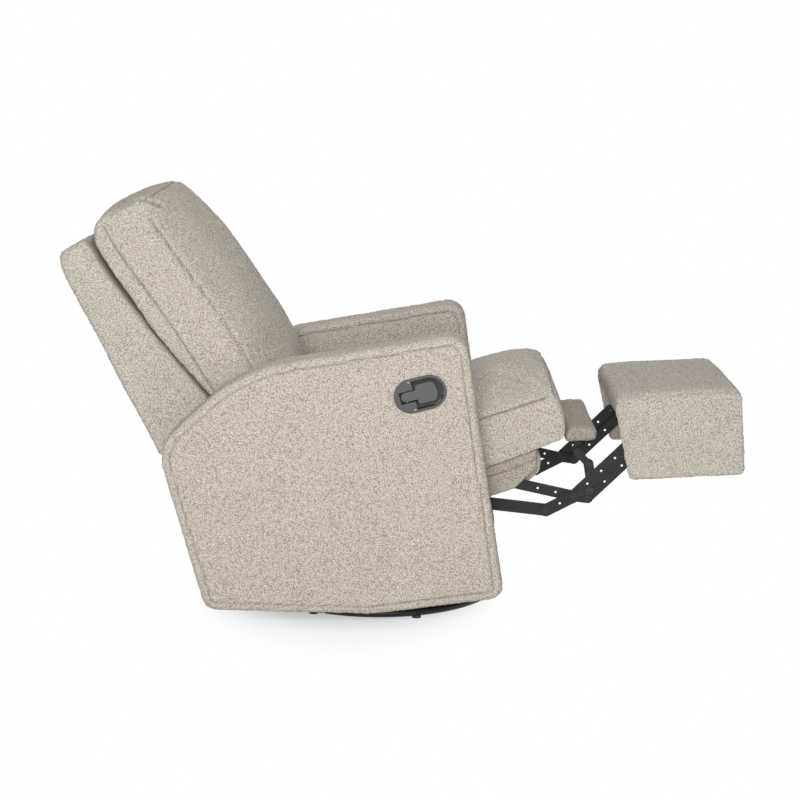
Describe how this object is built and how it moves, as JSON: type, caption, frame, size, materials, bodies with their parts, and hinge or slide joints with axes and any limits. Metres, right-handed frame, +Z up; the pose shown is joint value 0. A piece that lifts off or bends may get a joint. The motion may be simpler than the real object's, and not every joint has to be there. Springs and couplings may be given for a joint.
{
  "type": "swivel glider recliner",
  "caption": "Upholstered armchair with a padded back, an oval release handle and a folding footrest on bar linkages, gliding and swivelling on a low ring base.",
  "frame": {"origin": "centre of the ring base on the floor, on the swivel axis", "axes": "+X towards the footrest, +Y towards the sitter's left, +Z up"},
  "size_m": [1.6252, 0.7225, 1.0711],
  "materials": {
    "boucle": "looped boucle cloth",
    "deck_cloth": "woven cloth",
    "black_steel": "satin black",
    "zinc": "zinc plated",
    "spring_wire": "plain wire",
    "plywood": "unfinished",
    "dark_plastic": "fine grain",
    "rubber": "matt"
  },
  "bodies": {
    "base": {"base_ring": "black_steel", "base_feet": "rubber", "bearing_lower": "zinc", "bearing_balls": "zinc", "swivel_bolt": "zinc"},
    "swivel_frame": {"bearing_upper": "zinc", "glider_frame": "black_steel", "turntable_bolts": "zinc", "glide_top_pins": "zinc"},
    "rear_glide_links": {"glide_links_rear": "black_steel"},
    "front_glide_links": {"glide_links_front": "black_steel"},
    "chassis": {"side_rail_right": "black_steel", "side_rail_left": "black_steel", "glide_low_pins": "zinc", "chassis_tubes": "black_steel", "slide_channels": "zinc", "arm_frame_right": "plywood", "arm_frame_left": "plywood", "arm_cover_right": "boucle", "arm_cover_left": "boucle", "arm_bolts": "zinc", "rear_board": "plywood", "rear_cover": "boucle", "guide_plates": "black_steel", "handle_cup": "dark_plastic", "handle_screws": "zinc", "lever_pin": "zinc"},
    "lever": {"release_lever": "dark_plastic"},
    "seat": {"slide_runners": "zinc", "seat_frame": "plywood", "seat_springs": "spring_wire", "seat_deck": "deck_cloth", "seat_cushion": "boucle", "linkage_plate_right": "black_steel", "linkage_plate_left": "black_steel", "linkage_tube": "black_steel", "seat_bolts": "zinc", "plate_pivots": "zinc"},
    "back": {"back_brackets": "black_steel", "back_frame": "plywood", "back_springs": "spring_wire", "back_shell": "boucle", "back_cushion": "boucle", "back_guide_pins": "zinc"},
    "rear_bar_pair": {"rear_bars": "black_steel", "rear_bar_pins": "zinc"},
    "main_bar_pair": {"main_bars": "black_steel", "main_bar_pins": "zinc", "link_bumpers": "rubber"},
    "tail_bar_pair": {"tail_bars": "black_steel"},
    "front_bar_pair": {"front_bars": "black_steel"},
    "footrest": {"footrest_brackets": "black_steel", "footrest_board": "plywood", "footrest_cover": "boucle", "footrest_pins": "zinc"},
    "mid_pad": {"mid_pad_bracket": "black_steel", "mid_pad_cover": "boucle"}
  },
  "joints": [
    {"name": "swivel", "type": "hinge", "parent": "base", "child": "swivel_frame", "pos_m": [0, 0, 0.0275], "axis": [0, 0, 1], "continuous": true},
    {"name": "glide", "type": "hinge", "parent": "swivel_frame", "child": "chassis", "pos_m": [0, 0, 0], "axis": [0, 1, 0], "range_deg": [0, 9.3]},
    {"name": "rear_glide_link_swing", "type": "hinge", "parent": "swivel_frame", "child": "rear_glide_links", "pos_m": [-0.129, 0, 0.172], "axis": [0, -1, 0], "range_deg": [0, 6.63]},
    {"name": "front_glide_link_swing", "type": "hinge", "parent": "swivel_frame", "child": "front_glide_links", "pos_m": [0.129, 0, 0.172], "axis": [0, -1, 0], "range_deg": [0, 6.63]},
    {"name": "release_lever", "type": "hinge", "parent": "chassis", "child": "lever", "pos_m": [0.07087, -0.35, 0.55276], "axis": [-0.2504, 0, 0.9681], "range_deg": [-35, 0], "stiffness_Nm_per_rad": 0.25, "springref_deg": 5.73},
    {"name": "recline", "type": "slide", "parent": "chassis", "child": "seat", "axis": [0.9466, 0, 0.3223], "range_m": [-0.045, 0]},
    {"name": "back_recline", "type": "hinge", "parent": "seat", "child": "back", "pos_m": [-0.22295, 0, 0.2252], "axis": [0, 1, 0], "range_deg": [0, 12.02]},
    {"name": "footrest", "type": "hinge", "parent": "seat", "child": "rear_bar_pair", "pos_m": [0.29944, 0, 0.3291], "axis": [0, -1, 0], "range_deg": [-84.9, 0]},
    {"name": "main_bar_turn", "type": "hinge", "parent": "rear_bar_pair", "child": "main_bar_pair", "pos_m": [0.47214, 0, 0.29081], "axis": [0, -1, 0], "range_deg": [0, 98.82]},
    {"name": "front_bar_turn", "type": "hinge", "parent": "rear_bar_pair", "child": "front_bar_pair", "pos_m": [0.50598, 0, 0.28637], "axis": [0, -1, 0], "range_deg": [0, 98.82]},
    {"name": "tail_bar_turn", "type": "hinge", "parent": "main_bar_pair", "child": "tail_bar_pair", "pos_m": [0.40574, 0, 0.25638], "axis": [0, -1, 0], "range_deg": [-102.22, 0]},
    {"name": "footrest_turn", "type": "hinge", "parent": "main_bar_pair", "child": "footrest", "pos_m": [0.63389, 0, 0.44865], "axis": [0, -1, 0], "range_deg": [-98.82, 0]},
    {"name": "mid_pad_turn", "type": "hinge", "parent": "main_bar_pair", "child": "mid_pad", "pos_m": [0.50626, 0, 0.37119], "axis": [0, -1, 0], "range_deg": [-98.82, 0]}
  ],
  "couplings": [
    {"joint": "rear_glide_link_swing", "follows": "glide", "ratio": 0.711},
    {"joint": "front_glide_link_swing", "follows": "glide", "ratio": 0.711},
    {"joint": "back_recline", "follows": "recline", "rad_per_m": -4.6542},
    {"joint": "main_bar_turn", "follows": "footrest", "ratio": -1.1637},
    {"joint": "front_bar_turn", "follows": "footrest", "ratio": -1.1637},
    {"joint": "tail_bar_turn", "follows": "footrest", "ratio": 1.2038},
    {"joint": "footrest_turn", "follows": "footrest", "ratio": 1.1637},
    {"joint": "mid_pad_turn", "follows": "footrest", "ratio": 1.1637}
  ]
}
